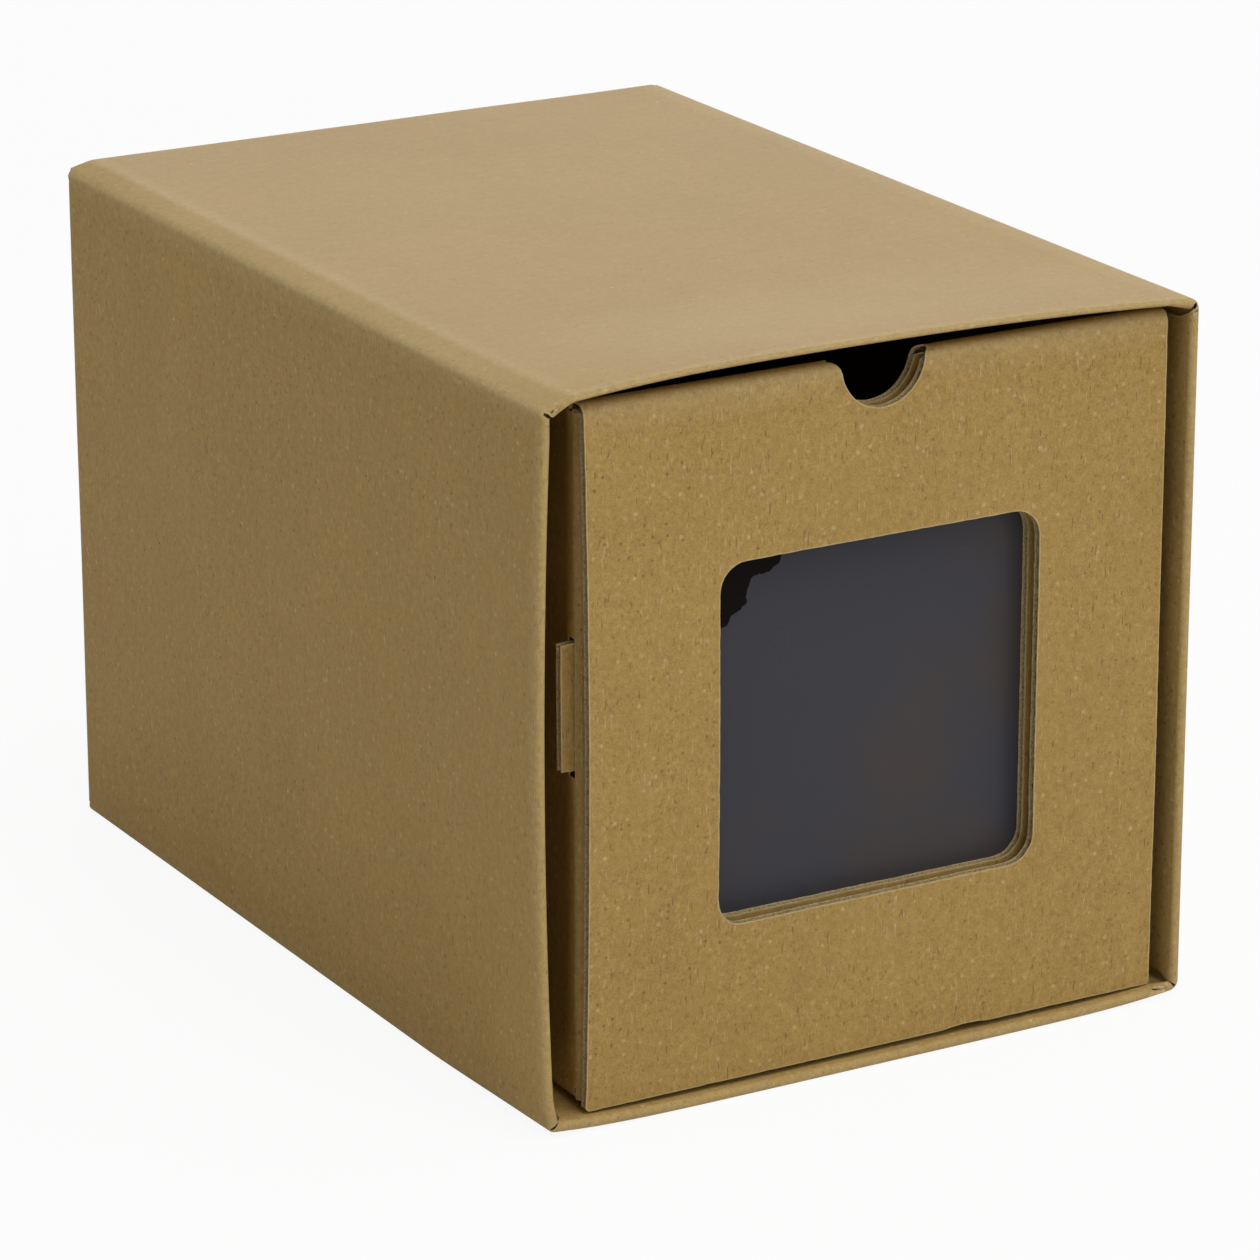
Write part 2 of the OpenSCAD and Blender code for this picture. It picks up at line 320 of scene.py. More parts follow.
class Blank:
    """The mesh of one folded blank, in millimetres, gathered from its sheets."""

    def __init__(self, board):
        self.thick = board.thickness / MM
        self.liner = board.liner / MM
        self.recess = board.recess / MM
        self.rng = np.random.RandomState(board.seed)
        self.points, self.faces, self.kinds = [], [], []
        self.wear, self.flute, self.tooth = [], [], []
        self.cuts = []

    def _add(self, places, wear, flute, tooth=0.7):
        first = len(self.points)
        self.points.extend(places)
        self.tooth.extend(np.broadcast_to(tooth, len(places)))
        self.wear.extend(np.broadcast_to(wear, len(places)))
        self.flute.extend(np.broadcast_to(flute, len(places)))
        return first

    def sheet(self, loops, lines_u, lines_s, place, wear, flute, tooth, joined=None, rough=0.07, step=1.6):
        """One flat outline with holes, bent by "place". Loops run with the board on
        their left. "joined" tells which of their points lie on a seam, not a cut."""
        t = self.thick
        joined = joined or (lambda loop: np.zeros(len(loop), bool))
        sampled = []
        for loop in loops:
            loop, seam = cut_line(loop, lines_u, lines_s, step, joined)
            near = np.roll(loop, -1, 0) - np.roll(loop, 1, 0)
            left = np.stack([-near[:, 1], near[:, 0]], 1)
            left /= np.linalg.norm(left, axis=1)[:, None] + 1e-12
            shake = self.rng.normal(0, rough, len(loop))
            shake = (shake + np.roll(shake, 1) + np.roll(shake, -1)) / 2
            shake[seam | np.roll(seam, 1) | np.roll(seam, -1)] = 0
            loop = loop + left * np.abs(shake)[:, None]
            sampled.append((loop, left, seam))
        rims = np.concatenate([s[0] for s in sampled])
        inner = np.concatenate([(s[0] + s[1] * BURR)[~s[2]] for s in sampled])
        inner = inner[inside(inner, [s[0] for s in sampled])]
        away = np.array([np.linalg.norm(rims - p, axis=1).min() for p in inner])
        inner = inner[away > BURR * 0.7]
        every = np.concatenate([rims, inner])
        grid = np.array([(u, s) for u in lines_u for s in lines_s])
        grid = grid[inside(grid, [s[0] for s in sampled])]
        if len(grid):
            keep = np.ones(len(grid), bool)
            for block in range(0, len(every), 400):
                far = np.linalg.norm(grid[:, None] - every[None, block:block + 400], axis=2)
                keep &= far.min(1) > 0.5
            grid = grid[keep]
        edges, base = [], 0
        for loop, _, _ in sampled:
            edges += [(base + k, base + (k + 1) % len(loop)) for k in range(len(loop))]
            base += len(loop)
        flat = np.concatenate([every, grid])
        made = delaunay_2d_cdt([Vector(p) for p in flat], edges, [], 0, 1e-5, False)
        flat = np.array([tuple(p) for p in made[0]])
        cuts = {(round(p[0], 3), round(p[1], 3)) for s in sampled for p in s[0][~s[2]]}
        at_cut = np.array([(round(p[0], 3), round(p[1], 3)) in cuts for p in flat])
        tris = np.array(made[2])
        tris = tris[inside(flat[tris].mean(1), [s[0] for s in sampled])]
        u, s = flat[:, 0], flat[:, 1]
        worn, phase = np.where(at_cut, 1.0, wear(u, s)), flute(u, s)
        coarse = tooth(u, s)
        top = self._add(place(u, s, 0.0), worn, phase, coarse)
        under = self._add(place(u, s, t), worn, phase, coarse)
        for a, b, c in tris:
            self.faces.append((top + a, top + b, top + c))
            self.faces.append((under + c, under + b, under + a))
        self.kinds += [LINER] * (2 * len(tris))
        for loop, left, seam in sampled:
            self._cut_edge(loop, left, seam, place, phase_of=flute)

    def _cut_edge(self, loop, left, seam, place, phase_of):
        """The two liners at a raw cut and the groove between them."""
        t, e, n = self.thick, self.liner, len(loop)
        deep = loop + left * self.recess
        rows = [(loop, 0.0), (loop, e), (deep, e), (deep, t - e), (loop, t - e), (loop, t)]
        phase = phase_of(loop[:, 0], loop[:, 1])
        firsts = [self._add(place(p[:, 0], p[:, 1], w), 1.0, phase) for p, w in rows]
        for k in range(n):
            m = (k + 1) % n
            if seam[k] and seam[m]:
                continue
            for row, kind in enumerate((CUT, CUT, CORE, CUT, CUT)):
                a, b = firsts[row], firsts[row + 1]
                self.faces.append((a + m, a + k, b + k, b + m))
                self.kinds.append(kind)
        shallow = loop + left * FLUTES_IN
        front = [place(shallow[:, 0], shallow[:, 1], w) for w in (e, t - e)]
        back = [place(deep[:, 0], deep[:, 1], w) for w in (e, t - e)]
        middle = (front[0] + front[1]) / 2
        self.cuts.append((middle, (front[1] - front[0]) / 2, (back[0] + back[1]) / 2 - middle, phase, seam))

    def shaped(self, change):
        """Moves every point gathered so far by a function of its place."""
        points = np.array(self.points)
        self.points = list(change(points))
        changed = []
        for middle, across, inward, phase, seam in self.cuts:
            spot = change(middle)
            across, inward = change(middle + across) - spot, change(middle + inward) - spot
            changed.append((spot, across, inward, phase, seam))
        self.cuts = changed

    def piece(self, name, materials):
        """The finished mesh object, in metres."""
        mesh = bpy.data.meshes.new(name)
        mesh.from_pydata([tuple(p * MM) for p in np.array(self.points)], [], self.faces)
        for kind in materials:
            mesh.materials.append(kind)
        mesh.polygons.foreach_set("material_index", self.kinds)
        for label, values in (("wear", self.wear), ("flute", self.flute), ("tooth", self.tooth)):
            layer = mesh.attributes.new(label, "FLOAT", "POINT")
            layer.data.foreach_set("value", np.array(values, np.float32))
        work = bmesh.new()
        work.from_mesh(mesh)
        bmesh.ops.remove_doubles(work, verts=work.verts, dist=WELD * MM)
        bmesh.ops.dissolve_degenerate(work, edges=work.edges, dist=1e-7)
        bmesh.ops.recalc_face_normals(work, faces=work.faces)
        work.to_mesh(mesh)
        work.free()
        mesh.polygons.foreach_set("use_smooth", np.ones(len(mesh.polygons), bool))
        mesh.set_sharp_from_angle(angle=math.radians(38))
        piece = bpy.data.objects.new(name, mesh)
        bpy.context.scene.collection.objects.link(piece)
        return piece


class Term:
    """A socket of a node tree that takes part in sums and products."""

    def __init__(self, finish, socket):
        self.finish, self.socket = finish, socket

    def _math(self, operation, *values, clamp=False):
        node = self.finish.node("ShaderNodeMath", {"operation": operation, "use_clamp": clamp}, list(values))
        return Term(self.finish, node.outputs[0])

    def __add__(self, other):
        return self._math("ADD", self, other)

    __radd__ = __add__

    def __sub__(self, other):
        return self._math("SUBTRACT", self, other)

    def __rsub__(self, other):
        return self._math("SUBTRACT", other, self)

    def __mul__(self, other):
        return self._math("MULTIPLY", self, other)

    __rmul__ = __mul__

    def __truediv__(self, other):
        return self._math("DIVIDE", self, other)

    def __pow__(self, other):
        return self._math("POWER", self, other)

    def above(self, limit):
        return self._math("GREATER_THAN", self, limit)

    def at_least(self, limit):
        return self._math("MAXIMUM", self, limit)

    def sine(self):
        return self._math("SINE", self)

    def between(self, low, high):
        """Rises smoothly from 0 at low to 1 at high."""
        node = self.finish.node(
            "ShaderNodeMapRange",
            {"interpolation_type": "SMOOTHSTEP"},
            {"Value": self, "From Min": low, "From Max": high},
        )
        return Term(self.finish, node.outputs["Result"])


class Finish:
    """A material and the nodes that make it."""

    def __init__(self, name):
        self.material = bpy.data.materials.new(name)
        self.material.use_nodes = True
        self.tree = self.material.node_tree
        self.tree.nodes.clear()
        self.output = self.node("ShaderNodeOutputMaterial", {}, {})

    def node(self, kind, settings, inputs):
        made = self.tree.nodes.new(kind)
        for key, value in settings.items():
            setattr(made, key, value)
        pairs = inputs.items() if isinstance(inputs, dict) else enumerate(inputs)
        for key, value in pairs:
            self.set(made.inputs[key], value)
        return made

    def set(self, socket, value):
        if isinstance(value, Term):
            self.tree.links.new(value.socket, socket)
        elif isinstance(value, bpy.types.NodeSocket):
            self.tree.links.new(value, socket)
        elif hasattr(value, "__len__"):
            value = tuple(value)
            socket.default_value = value + (1.0,) if socket.type == "RGBA" and len(value) == 3 else value
        else:
            socket.default_value = value

    def place(self, scale=(1000.0, 1000.0, 1000.0), turn=(0.0, 0.0, 0.0)):
        """Object coordinates, in millimetres unless scaled otherwise."""
        spot = self.node("ShaderNodeTexCoord", {}, {}).outputs["Object"]
        mapped = self.node("ShaderNodeMapping", {}, {"Vector": spot, "Scale": scale, "Rotation": turn})
        return mapped.outputs["Vector"]

    def noise(self, vector, scale, detail=2.0, roughness=0.5):
        inputs = {"Vector": vector, "Scale": scale, "Detail": detail, "Roughness": roughness}
        return Term(self, self.node("ShaderNodeTexNoise", {}, inputs).outputs[0])

    def spots(self, vector, scale, share, low, high):
        """Small round spots in a share of the cells, as a mask."""
        cells = self.node("ShaderNodeTexVoronoi", {}, {"Vector": vector, "Scale": scale})
        pick = self.node("ShaderNodeSeparateColor", {}, {"Color": cells.outputs["Color"]})
        near = 1 - Term(self, cells.outputs["Distance"]).between(low, high)
        size = Term(self, pick.outputs[1])
        return near * Term(self, pick.outputs[0]).above(1 - share) * (0.35 + 0.65 * size)

    def attribute(self, name):
        return Term(self, self.node("ShaderNodeAttribute", {"attribute_name": name}, {}).outputs["Fac"])

    def mix(self, factor, first, second, blend="MIX"):
        made = self.node(
            "ShaderNodeMix",
            {"data_type": "RGBA", "blend_type": blend, "clamp_factor": True},
            {"Factor": factor},
        )
        self.set(made.inputs[6], first)
        self.set(made.inputs[7], second)
        return made.outputs[2]

    def bump(self, height, strength, distance=0.001):
        made = self.node("ShaderNodeBump", {}, {"Height": height, "Strength": strength, "Distance": distance})
        return made.outputs["Normal"]

    def principled(self, base, roughness, specular, **others):
        """A Principled shader's output. "specular" scales its reflection."""
        made = self.node(
            "ShaderNodeBsdfPrincipled", {}, {"Base Color": base, "Roughness": roughness, **others}
        )
        made.inputs["Specular IOR Level"].default_value = specular
        return made.outputs[0]

    def surface(self, shader):
        self.tree.links.new(shader, self.output.inputs["Surface"])
        return self.material


def kraft_finish(colors, pitch):
    """Brown kraft liner: mottled, with fibres, dark specks, worn folds and the
    faint print of the flutes. "tooth" says how coarse it looks."""
    f = Finish("kraft_liner")
    spot = f.place()
    tooth, wear = f.attribute("tooth"), f.attribute("wear")
    clouds = f.noise(spot, 0.022, 3.0, 0.6)
    mottle = f.noise(spot, 0.55, 3.0, 0.6)
    grain = f.noise(spot, 1.9, 2.0, 0.6)
    streak = f.noise(f.place((160.0, 160.0, 24.0)), 1.0, 3.0, 0.6)
    hairs = []
    for turn in ((0.3, 0.9, 0.5), (1.4, 0.2, 2.1), (2.3, 1.2, 1.2)):
        threads = f.noise(f.place((1500.0, 1500.0, 240.0), turn), 1.0, 1.0, 0.5)
        hairs.append(threads.between(0.66, 0.76))
    pale_hairs = hairs[0] + hairs[1]
    rough = (mottle - 0.5) * 0.55 + (grain - 0.5) * 0.85
    tone = (clouds - 0.5) * 0.16 + (streak - 0.5) * 0.08 + tooth * rough
    scaled = {"Vector": tuple(colors.kraft), "Scale": 1.0 + tone}
    base = f.node("ShaderNodeVectorMath", {"operation": "SCALE"}, scaled).outputs["Vector"]
    base = f.mix(tooth * pale_hairs * 0.34, base, colors.fleck)
    base = f.mix(tooth * hairs[2] * 0.50, base, colors.speck)
    dark = f.spots(spot, 0.15, 0.45, 0.035, 0.085)
    fine = f.spots(spot, 0.42, 0.34, 0.10, 0.30)
    pale = f.spots(f.place(turn=(0.4, 0.7, 0.2)), 0.10, 0.32, 0.025, 0.085)
    crumbs = f.spots(f.place(turn=(1.1, 0.3, 0.8)), 0.36, 0.30, 0.10, 0.32)
    base = f.mix((0.25 + 0.65 * tooth) * dark, base, colors.speck)
    base = f.mix(tooth * fine * 0.62, base, colors.speck)
    base = f.mix(tooth * crumbs * 0.50, base, colors.fleck)
    base = f.mix((0.2 + 0.6 * tooth) * pale, base, colors.fleck)
    rubbed = wear * (0.30 + 1.2 * mottle)
    base = f.mix(rubbed._math("MULTIPLY", rubbed, 0.70, clamp=True), base, colors.fleck)
    washboard = (f.attribute("flute") * (2 * math.pi / (pitch / MM))).sine()
    height = tooth * (mottle * 0.10 + grain * 0.14) + washboard * 0.014 + pale_hairs * 0.03
    normal = f.bump(height, 0.5, 0.001)
    return f.surface(f.principled(base, 0.53 + (grain - 0.5) * 0.2, 0.2, Normal=normal))


def cut_finish(colors):
    """The pale torn edge of a liner."""
    f = Finish("cut_liner")
    spot = f.place()
    torn = f.noise(spot, 1.3, 4.0, 0.7)
    base = f.mix(torn.between(0.32, 0.62), colors.kraft, colors.cut)
    return f.surface(f.principled(base, 0.9, 0.2, Normal=f.bump(torn, 0.5, 0.0006)))


def fluting_finish(colors):
    """The paper between the liners. Its dark brown is painted shade of the cavities behind a raw cut, mixed
    with fibres of kraft colour.
    """
    f = Finish("fluting")
    spot = f.place()
    fibre = f.noise(spot, 0.9, 4.0, 0.65)
    # Painted shade of the cavities: dark brown, with fibres of kraft colour
    base = f.mix(fibre.between(0.45, 0.80), colors.fluting, colors.kraft)
    return f.surface(f.principled(base, 0.92, 0.15, Normal=f.bump(fibre, 0.4, 0.0006)))


def film_finish(colors, corner):
    """Clear film that lets a little light through. Its grey colour, warmer in places, is painted shade of the
    drawer's dark inside mixed with a painted reflection of the pale surroundings; in one patch at its upper
    left corner that grey is missing."""
    f = Finish("clear_film")
    spot = f.place()
    smear_and_shade = f.noise(spot, 0.018, 3.0, 0.5)
    scuff = f.noise(f.place((60.0, 60.0, 260.0), (0.2, 0.5, 0.1)), 1.0, 4.0, 0.7)
    # Painted shade and painted reflection: a grey, warmer where the smear mask is high, stands for the
    # drawer's dark inside and the pale surroundings mirrored in the film; the pale scuffs are the film's own
    painted_film_shade = f.mix(smear_and_shade.between(0.48, 0.72), colors.film, colors.warm_film_shade)
    painted_film_shade = f.mix(scuff.between(0.62, 0.80) * 0.10, painted_film_shade, (0.12, 0.12, 0.12))
    through = f.node("ShaderNodeBsdfTransparent", {}, {"Color": (0.30, 0.29, 0.31)})
    gloss = f.principled(painted_film_shade, 0.24 + smear_and_shade * 0.12, 0.12)
    # Near-black colour with almost no reflection: painted shade of the drawer's dark inside, used in the
    # corner patch
    painted_dark_inside = f.principled((0.007, 0.005, 0.004), 0.3, 0.04)
    clear = f.node("ShaderNodeMixShader", {}, {0: 0.85, 1: through.outputs[0], 2: gloss})
    # Two rounded lobes in the corner, one along each edge, with a wavy border, hold the near-black painted
    # shade
    parts = f.node("ShaderNodeSeparateXYZ", {}, {"Vector": spot})
    wave = (f.noise(spot, 0.28, 2.0, 0.5) - 0.5) * 3.0
    right = (Term(f, parts.outputs[0]) - corner[0] + wave).at_least(0.0)
    down = (corner[1] - Term(f, parts.outputs[2]) + wave).at_least(0.0)
    along = (right / 26.5) ** 2.6 + (down / 9.2) ** 2.6
    below = (right / 16.2) ** 2.6 + (down / 21.0) ** 2.6
    patch = (1 - along.between(0.96, 1.0)).at_least(1 - below.between(0.96, 1.0))
    blend = f.node("ShaderNodeMixShader", {}, {0: patch, 1: clear.outputs[0], 2: painted_dark_inside})
    return f.surface(blend.outputs[0])


def board_finishes(box):
    """The three board materials, made once."""
    kept = [bpy.data.materials.get(n) for n in ("kraft_liner", "cut_liner", "fluting")]
    if all(kept):
        return kept
    colors = box.finishes
    return [kraft_finish(colors, box.board.pitch), cut_finish(colors), fluting_finish(colors)]


def fluting_tree(material):
    """Geometry nodes that run the wavy paper along the raw cuts. Each cut is a line
    whose points carry the way across the board, the way inwards and the place
    along the flutes' pitch."""
    tree = bpy.data.node_groups.new("board_fluting", "GeometryNodeTree")
    face = tree.interface
    face.new_socket("Geometry", in_out="INPUT", socket_type="NodeSocketGeometry")
    for name, value in (("Pitch", 5.4), ("Fill", 0.86), ("Step", 0.0006), ("Paper", 0.00022)):
        socket = face.new_socket(name, in_out="INPUT", socket_type="NodeSocketFloat")
        socket.default_value = value
    seed = face.new_socket("Seed", in_out="INPUT", socket_type="NodeSocketInt")
    seed.default_value = 3
    face.new_socket("Geometry", in_out="OUTPUT", socket_type="NodeSocketGeometry")

    def node(kind, settings=None, **inputs):
        made = tree.nodes.new(kind)
        for key, value in (settings or {}).items():
            setattr(made, key, value)
        for key, value in inputs.items():
            socket = made.inputs[int(key[1:])] if key[0] == "i" and key[1:].isdigit() else made.inputs[key]
            if isinstance(value, bpy.types.NodeSocket):
                tree.links.new(value, socket)
            else:
                socket.default_value = value
        return made

    def named(name, kind):
        made = node("GeometryNodeInputNamedAttribute", {"data_type": kind})
        made.inputs["Name"].default_value = name
        return made.outputs["Attribute"]

    def calc(operation, a, b=0.0):
        return node("ShaderNodeMath", {"operation": operation}, i0=a, i1=b).outputs[0]

    def scaled(vector, factor):
        return node("ShaderNodeVectorMath", {"operation": "SCALE"}, i0=vector, Scale=factor).outputs[0]

    given = tree.nodes.new("NodeGroupInput").outputs
    curve = node("GeometryNodeMeshToCurve", i0=given["Geometry"])
    even = node("GeometryNodeResampleCurve", {"mode": "LENGTH"}, Curve=curve.outputs[0], Length=given["Step"])
    turns = calc("DIVIDE", named("phase", "FLOAT"), given["Pitch"])
    wave = calc("SINE", calc("MULTIPLY", turns, 2 * math.pi))
    ragged = node("ShaderNodeTexNoise", {"noise_dimensions": "4D"}, Scale=420.0, Detail=2.0)
    tree.links.new(given["Seed"], ragged.inputs["W"])
    tear = calc("SUBTRACT", ragged.outputs[0], 0.5)
    swing = scaled(named("across", "FLOAT_VECTOR"), calc("MULTIPLY", wave, given["Fill"]))
    ahead = scaled(named("inward", "FLOAT_VECTOR"), calc("MULTIPLY", tear, -0.55))
    shift = node("ShaderNodeVectorMath", {"operation": "ADD"}, i0=swing, i1=ahead).outputs[0]
    bent = node("GeometryNodeSetPosition", Geometry=even.outputs[0], Offset=shift)
    line = node("GeometryNodeCurveToMesh", Curve=bent.outputs[0])
    ribbon = node(
        "GeometryNodeExtrudeMesh",
        {"mode": "EDGES"},
        Mesh=line.outputs[0],
        Offset=named("inward", "FLOAT_VECTOR"),
    )
    slab = node(
        "GeometryNodeExtrudeMesh",
        {"mode": "FACES"},
        Mesh=ribbon.outputs[0],
        **{"Offset Scale": given["Paper"], "Individual": False},
    )
    back = node("GeometryNodeFlipFaces", Mesh=ribbon.outputs[0])
    both = tree.nodes.new("GeometryNodeJoinGeometry")
    tree.links.new(slab.outputs[0], both.inputs[0])
    tree.links.new(back.outputs[0], both.inputs[0])
    welded = node("GeometryNodeMergeByDistance", Geometry=both.outputs[0], Distance=0.000002)
    real = node("GeometryNodeRealizeInstances", Geometry=welded.outputs[0])
    painted = node("GeometryNodeSetMaterial", Geometry=real.outputs[0])
    painted.inputs["Material"].default_value = material
    out = tree.nodes.new("NodeGroupOutput")
    tree.links.new(painted.outputs[0], out.inputs["Geometry"])
    return tree


def fluting_piece(name, blank, box, material):
    """Runs the fluting along a blank's raw cuts and keeps it as a plain mesh."""
    points, edges, across, inward, phase = [], [], [], [], []
    for middle, side, deep, at, seam in blank.cuts:
        n, first = len(middle), len(points)
        points += [tuple(p * MM) for p in middle]
        across += [v * MM for v in side]
        inward += [v * MM for v in deep]
        phase += list(at)
        for k in range(n - 1):
            if not (seam[k] or seam[k + 1]):
                edges.append((first + k, first + k + 1))
    mesh = bpy.data.meshes.new(name)
    mesh.from_pydata(points, edges, [])
    for label, kind, values in (
        ("across", "FLOAT_VECTOR", across),
        ("inward", "FLOAT_VECTOR", inward),
        ("phase", "FLOAT", phase),
    ):
        layer = mesh.attributes.new(label, kind, "POINT")
        field = "vector" if kind == "FLOAT_VECTOR" else "value"
        layer.data.foreach_set(field, np.array(values, np.float32).ravel())
    lines = bpy.data.objects.new(name + "_lines", mesh)
    bpy.context.scene.collection.objects.link(lines)
    tree = bpy.data.node_groups.get("board_fluting") or fluting_tree(material)
    modifier = lines.modifiers.new("fluting", "NODES")
    modifier.node_group = tree
    sockets = {s.name: s.identifier for s in tree.interface.items_tree if s.in_out == "INPUT"}
    modifier[sockets["Pitch"]] = box.board.pitch / MM
    modifier[sockets["Seed"]] = box.board.seed
    bpy.context.view_layer.update()
    graph = bpy.context.evaluated_depsgraph_get()
    plain = bpy.data.meshes.new_from_object(lines.evaluated_get(graph))
    lines.modifiers.remove(modifier)
    bpy.data.objects.remove(lines)
    work = bmesh.new()
    work.from_mesh(plain)
    for vert in work.verts:
        vert.co = np.clip(np.array(vert.co), LOWEST * MM, HIGHEST * MM)
    bmesh.ops.recalc_face_normals(work, faces=work.faces)
    work.to_mesh(plain)
    work.free()
    for label in ("across", "inward", "phase"):
        layer = plain.attributes.get(label)
        if layer:
            plain.attributes.remove(layer)
    plain.name = name
    plain.polygons.foreach_set("use_smooth", np.ones(len(plain.polygons), bool))
    plain.set_sharp_from_angle(angle=math.radians(40))
    piece = bpy.data.objects.new(name, plain)
    bpy.context.scene.collection.objects.link(piece)
    if not len(plain.polygons):
        raise RuntimeError(f"{name} came out empty")
    return piece


class SleeveFolds:
    """Where each point of the sleeve's blank goes when it is folded. u runs round
    the sleeve from the right end of the bottom wall, clockwise as seen from the
    front, and s from the back plane to the front rim and back through the hem."""

    def __init__(self, box):
        size, board = box.sleeve, box.board
        self.half, self.high = size.width / MM / 2, size.height / MM
        self.t, self.r = board.thickness / MM, board.fold / MM
        self.rim, self.rear = SLEEVE_BOX[0].y / MM, SLEEVE_BOX[1].y / MM
        self.crown, self.bow, self.lift = size.crown / MM, size.bow / MM, size.lift / MM
        self.flare, self.hem = size.flare / MM, size.hem / MM
        self.flap = size.dust_flap / MM
        w, h, band, drop = self.half, self.high, size.band / MM, size.band_drop / MM
        start = (w - self.r - 1, 0)
        corners = [start, (-w, 0), (-w, h - drop), (-w + band, h), (w, h), (w, 0), start]
        self.ring = CreasedPath(corners, [self.r, 2.6, 14.0, self.r, self.r])
        self.pressed, self.top_pressed, self.swell = size.pressed, size.top_pressed, size.swell / MM
        self.nose = self.t * self.pressed
        self.turn = math.pi / 2 * self.nose
        self.start = self.rear - self.rim - self.nose
        self.end = self.start + 2 * self.turn + self.hem - self.nose
        self.fold = math.pi / 2 * self.r

    def least(self, u):
        """Share of its thickness that the board keeps at the rim, round the sleeve."""
        stops = self.ring.stops
        top = ease((u - stops[4]) / 8) * (1 - ease((u - stops[7] + 6) / 6))
        return self.pressed + (self.top_pressed - self.pressed) * top

    def squeeze(self, u, y):
        """Share of its thickness that the board has near the pressed rim."""
        least = self.least(u)
        behind = (y - self.rim - 11.5) / self.swell
        return least + (1 - least) * ease(behind)

    def place(self, u, s, depth):
        stops, ring = self.ring.stops, self.ring
        y = self.rear - s
        flat_y = np.where(s > self.start, self.rim + s - self.start - 2 * self.turn, y)
        share = np.clip(depth / self.t, 0, 1) * np.ones(len(u))
        depth = depth * self.squeeze(u, flat_y)
        a = depth.copy()
        nose = self.t * self.least(u)
        # Round the rim and back through the hem
        front = s > self.start
        first = np.clip((s - self.start) / self.turn, 0, 1) * math.pi / 2
        second = np.clip((s - self.start - self.turn) / self.turn, 0, 1) * math.pi / 2
        beyond = np.clip(s - self.start - 2 * self.turn, 0, None)
        r = np.maximum(nose - depth, 0.02)
        long = self.nose * np.maximum(1 - share, 0.02)
        hem_a = nose - r * np.cos(first) + r * np.sin(second) * (second > 0)
        hem_y = self.rim + self.nose - long * np.sin(first) + long * (1 - np.cos(second)) + beyond
        hem_a = hem_a + 2 * self.t * self.squeeze(u, hem_y) - 2 * nose
        a, y = np.where(front, hem_a, a), np.where(front, hem_y, y)
        # Inwards at the back: the long flap from the top wall, the short ones from the sides
        top = (u > stops[4]) & (u < stops[7])
        side = ((u > stops[2]) & (u < stops[3])) | ((u > stops[8]) & (u < stops[9]))
        lies = np.where(side, self.t + 0.15, 0.0)
        past = np.clip(lies + self.r - s, 0, None) * (top | side)
        angle = np.clip(past / self.r, 0, math.pi / 2)
        r = self.r - depth
        extra = np.clip(past - self.fold, 0, None)
        back = past > 0
        a = np.where(back, self.r - r * np.cos(angle) + extra, a)
        y = np.where(back, self.rear - lies - self.r + r * np.sin(angle), y)
        spots = ring.at(u, a)
        # The flap hangs straight down, also from the tilted band
        tilted = back & (u > stops[4]) & (u < stops[6])
        straight = ring.at(u, 0.0) - np.stack([np.zeros(len(u)), a], 1)
        share = np.clip(angle / (math.pi / 2), 0, 1)[:, None]
        spots = np.where(tilted[:, None], spots * (1 - share) + straight * share, spots)
        return np.stack([spots[:, 0], y, spots[:, 1]], 1)

    def settle(self, p):
        """The box isn't square: the walls spread and bow towards the front rim."""
        x, y, z = p[:, 0].copy(), p[:, 1].copy(), p[:, 2].copy()
        spread = np.clip((self.rim + self.flare - y) / (self.flare - self.t), 0, 1)
        spread = 0.4 * spread + 0.6 * ease(spread)
        edge = self.half - self.r
        peak = -20.0  # the top wall's highest place, left of the middle
        off = np.abs(x - peak) / (edge + np.sign(x - peak) * -peak)
        up = self.crown * spread * np.clip(1 - off ** 2.5, 0, 1) * (z > self.high / 2)
        v = np.clip(z / self.high, 0, 1)
        out = self.bow * spread * 4 * v * (1 - v) * ease((-x - 60) / 35)
        corner = self.lift * spread * np.clip(np.abs(x) / edge, 0, 1) ** 6 * np.clip((7 - z) / 4, 0, 1)
        # The left hem's lower end stands inwards
        near, low = np.clip(1 - (y - self.rim) / 16, 0, 1), np.exp(-(((z - 5.5) / 3.0) ** 2))
        end = 2.2 * near * low * (x < -edge + 4)
        # Long soft waves, always inwards
        between = ease(np.clip(1 - np.abs(y - 10) / 150, 0, 1) * 4)
        wall = 0.22 * (1 + waves(y, z, 95, 11)) * between
        sheet = 0.25 * (1 + waves(x, y, 105, 12)) * between
        level = np.clip((self.half - np.abs(x)) / 6, 0, 1)
        beside = 1 - ease((self.half - np.abs(x)) / 12)
        x = x - out + end - np.sign(x) * wall * beside * np.clip(4 * v * (1 - v), 0, 1)
        z = z + up + corner - sheet * level * (z > self.high - 12)
        return np.clip(np.stack([x, y, z], 1), LOWEST, HIGHEST)

    def wear(self, u, s):
        """Worn and crinkled paper over the creases and the rim."""
        stops = self.ring.stops
        worn = np.zeros(len(u))
        creases = ((1, 0.32, 1.6), (3, 0.85, 0.5), (5, 0.30, 1.8), (7, 0.34, 1.6), (9, 0.3, 1.6))
        for k, strength, reach in creases:
            middle = (stops[k] + stops[k + 1]) / 2
            spread = (stops[k + 1] - stops[k]) / 2 * 0.6 + reach
            worn = np.maximum(worn, strength * np.exp(-(((u - middle) / spread) ** 2)))
        rim = np.exp(-(((s - self.start - self.turn * 0.8) / 3.2) ** 2))
        worn = np.maximum(worn, 0.42 * rim)
        back = np.exp(-(((s - self.r * 0.3) / 2.2) ** 2))
        return np.maximum(worn, 0.3 * back)

    def tooth(self, u, s):
        """How coarse the paper looks: smooth on the top wall, rough over the rim."""
        stops = self.ring.stops
        top = ease((u - stops[4] + 3) / 6) * (1 - ease((u - stops[7]) / 4))
        rim = ease((s - self.start + 6) / 7)
        return np.maximum(0.80 - 0.42 * top, 0.95 * rim)

